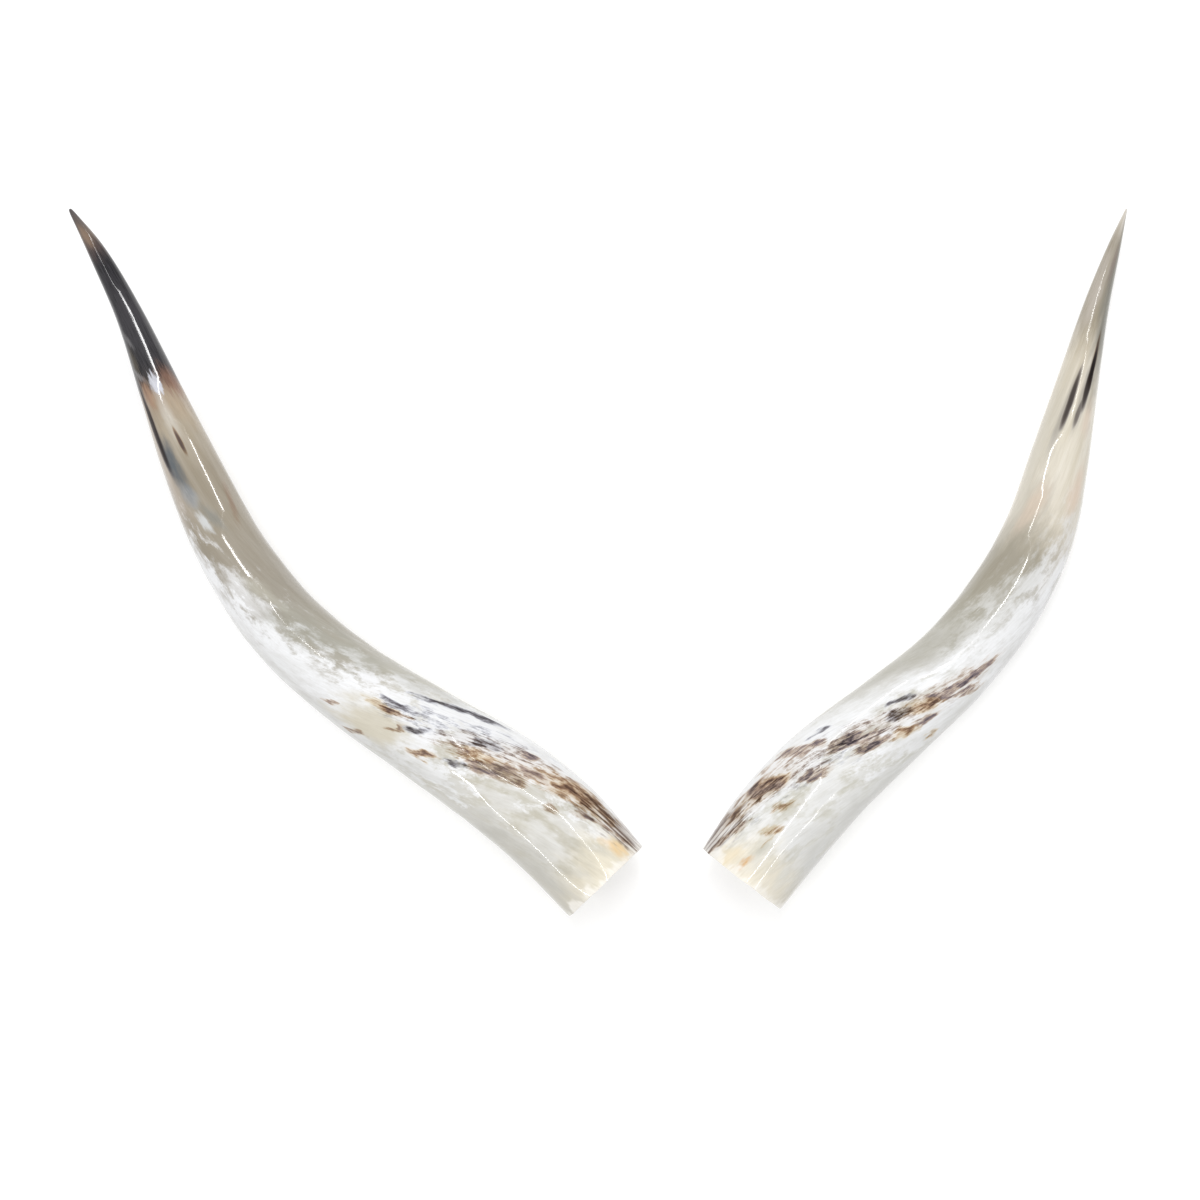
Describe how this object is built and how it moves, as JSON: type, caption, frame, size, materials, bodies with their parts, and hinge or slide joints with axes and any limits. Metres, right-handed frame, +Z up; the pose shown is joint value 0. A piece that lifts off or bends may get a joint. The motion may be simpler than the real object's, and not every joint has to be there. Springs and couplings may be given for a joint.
{
  "type": "pair of polished cow horns",
  "caption": "Pair of long curved cow horns, sawn off square and hollow at the thick end, solid and pointed at the tip, polished to a gloss; a decoration or a blank for carving.",
  "frame": {"origin": "on the surface the horns lie on, under the middle of the box around the pair", "axes": "+X from the left horn to the right horn, +Y from the sawn ends towards the tips, +Z up"},
  "size_m": [1.0976, 0.7225, 0.1109],
  "materials": {
    "dark_tipped_horn": "polished natural horn, ivory and grey with brown streaks and a near-black tip",
    "pale_tipped_horn": "polished natural horn, ivory and grey with brown streaks and a pale tip"
  },
  "bodies": {
    "root": {"left_horn": "dark_tipped_horn", "right_horn": "pale_tipped_horn"}
  },
  "joints": []
}
